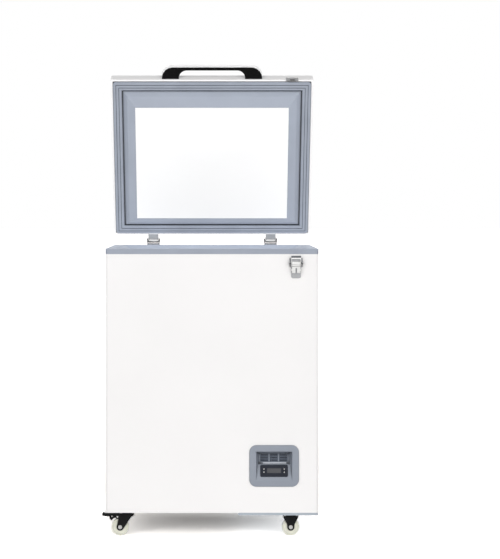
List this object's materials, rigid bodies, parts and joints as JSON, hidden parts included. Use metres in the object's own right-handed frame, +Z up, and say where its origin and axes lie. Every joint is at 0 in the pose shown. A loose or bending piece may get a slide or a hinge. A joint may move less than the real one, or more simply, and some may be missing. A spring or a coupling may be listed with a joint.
{
  "type": "chest ultra low temperature freezer",
  "caption": "White chest freezer for ultra low temperatures on castors, with a hinged insulated lid, bow handle, toggle latch and a recessed controller.",
  "frame": {"origin": "on the floor under the middle of the cabinet's width and depth", "axes": "+X to the right seen from the front, +Y to the back where the hinges are, +Z up"},
  "size_m": [0.6149, 0.5678, 1.3502],
  "materials": {
    "white_paint": "gloss",
    "galvanised_steel": "satin",
    "grey_plastic": "satin",
    "gasket": "matte",
    "liner_metal": "satin",
    "inner_panel": "gloss",
    "foam": "matte",
    "copper": "satin",
    "black_enamel": "gloss",
    "black_plastic": "satin",
    "rubber": "matte",
    "trim": "gloss",
    "display": "gloss",
    "button": "satin",
    "bright_steel": "polished",
    "black_steel": "satin",
    "wheel": "satin"
  },
  "bodies": {
    "cabinet": {"cabinet_wrapper": "white_paint", "front_panel": "white_paint", "rear_panel": "white_paint", "rear_cover": "white_paint", "bottom_panel": "galvanised_steel", "compressor_bulkhead": "galvanised_steel", "fan_shroud": "galvanised_steel", "top_collar": "grey_plastic", "control_bezel": "grey_plastic", "base_pan": "grey_plastic", "side_grille": "grey_plastic", "chamber_liner": "liner_metal", "condenser": "liner_metal", "cabinet_foam": "foam", "evaporator_coil": "copper", "refrigerant_pipes": "copper", "filter_drier": "copper", "compressor": "black_enamel", "fan_motor": "black_enamel", "controller_case": "black_plastic", "vent_screen": "black_plastic", "power_inlet": "black_plastic", "compressor_feet": "rubber", "display_window": "display", "hinge_brackets": "bright_steel", "hinge_pins": "bright_steel", "latch_base": "bright_steel", "cabinet_fasteners": "bright_steel", "temperature_probe": "bright_steel", "fixed_axles": "bright_steel", "swivel_plates": "black_steel", "fixed_forks": "black_steel"},
    "lid": {"lid_shell": "white_paint", "lid_foam": "foam", "lid_frame": "grey_plastic", "lid_inner_panel": "inner_panel", "lid_gasket": "gasket", "lid_handle": "black_plastic", "handle_trim": "trim", "latch_keeper": "bright_steel", "hinge_leaves": "bright_steel", "lid_screws": "bright_steel"},
    "latch_lever": {"latch_lever": "bright_steel", "latch_hook_pin": "bright_steel"},
    "latch_hook": {"latch_hook": "bright_steel"},
    "fan": {"fan_blade": "black_plastic"},
    "castor_front": {"swivel_fork_front": "black_steel", "swivel_axle_front": "bright_steel"},
    "castor_rear": {"swivel_fork_rear": "black_steel", "swivel_axle_rear": "bright_steel"},
    "pedal_front": {"brake_pedal_front": "black_steel"},
    "pedal_rear": {"brake_pedal_rear": "black_steel"},
    "wheel_front_left": {"wheel_front_left": "wheel"},
    "wheel_rear_left": {"wheel_rear_left": "wheel"},
    "wheel_front_right": {"wheel_front_right": "wheel"},
    "wheel_rear_right": {"wheel_rear_right": "wheel"},
    "button_set": {"button_set": "button"},
    "button_up": {"button_up": "button"},
    "button_alarm": {"button_alarm": "button"},
    "button_down": {"button_down": "button"}
  },
  "joints": [
    {"name": "lid_hinge", "type": "hinge", "parent": "cabinet", "child": "lid", "pos_m": [0, 0.276, 0.826], "axis": [-1, 0, 0], "range_deg": [-64, 21]},
    {"name": "latch_lever_pivot", "type": "hinge", "parent": "cabinet", "child": "latch_lever", "pos_m": [0.236, -0.269, 0.775], "axis": [-1, 0, 0], "range_deg": [0, 150]},
    {"name": "latch_hook_pivot", "type": "hinge", "parent": "latch_lever", "child": "latch_hook", "pos_m": [0.236, -0.272, 0.767], "axis": [-1, 0, 0], "range_deg": [-150, 0]},
    {"name": "fan_spin", "type": "hinge", "parent": "cabinet", "child": "fan", "pos_m": [0.2338, -0.06, 0.18], "axis": [1, 0, 0], "continuous": true},
    {"name": "swivel_front", "type": "hinge", "parent": "cabinet", "child": "castor_front", "pos_m": [-0.24, -0.205, 0.06], "axis": [0, 0, 1], "continuous": true},
    {"name": "roll_front_left", "type": "hinge", "parent": "castor_front", "child": "wheel_front_left", "pos_m": [-0.26, -0.205, 0.025], "axis": [0, 1, 0], "continuous": true},
    {"name": "brake_front", "type": "hinge", "parent": "castor_front", "child": "pedal_front", "pos_m": [-0.268, -0.205, 0.054], "axis": [0, -1, 0], "range_deg": [0, 16]},
    {"name": "roll_front_right", "type": "hinge", "parent": "cabinet", "child": "wheel_front_right", "pos_m": [0.223, -0.205, 0.025], "axis": [0, 1, 0], "continuous": true},
    {"name": "swivel_rear", "type": "hinge", "parent": "cabinet", "child": "castor_rear", "pos_m": [-0.24, 0.205, 0.06], "axis": [0, 0, 1], "continuous": true},
    {"name": "roll_rear_left", "type": "hinge", "parent": "castor_rear", "child": "wheel_rear_left", "pos_m": [-0.26, 0.205, 0.025], "axis": [0, 1, 0], "continuous": true},
    {"name": "brake_rear", "type": "hinge", "parent": "castor_rear", "child": "pedal_rear", "pos_m": [-0.268, 0.205, 0.054], "axis": [0, -1, 0], "range_deg": [0, 16]},
    {"name": "roll_rear_right", "type": "hinge", "parent": "cabinet", "child": "wheel_rear_right", "pos_m": [0.223, 0.205, 0.025], "axis": [0, 1, 0], "continuous": true},
    {"name": "button_set_press", "type": "slide", "parent": "cabinet", "child": "button_set", "axis": [0, 0.9372, -0.3487], "range_m": [0, 0.0008], "stiffness_N_per_m": 400},
    {"name": "button_up_press", "type": "slide", "parent": "cabinet", "child": "button_up", "axis": [0, 0.9372, -0.3487], "range_m": [0, 0.0008], "stiffness_N_per_m": 400},
    {"name": "button_alarm_press", "type": "slide", "parent": "cabinet", "child": "button_alarm", "axis": [0, 0.9372, -0.3487], "range_m": [0, 0.0008], "stiffness_N_per_m": 400},
    {"name": "button_down_press", "type": "slide", "parent": "cabinet", "child": "button_down", "axis": [0, 0.9372, -0.3487], "range_m": [0, 0.0008], "stiffness_N_per_m": 400}
  ],
  "couplings": [
    {"joint": "latch_hook_pivot", "follows": "latch_lever_pivot", "ratio": -1}
  ]
}
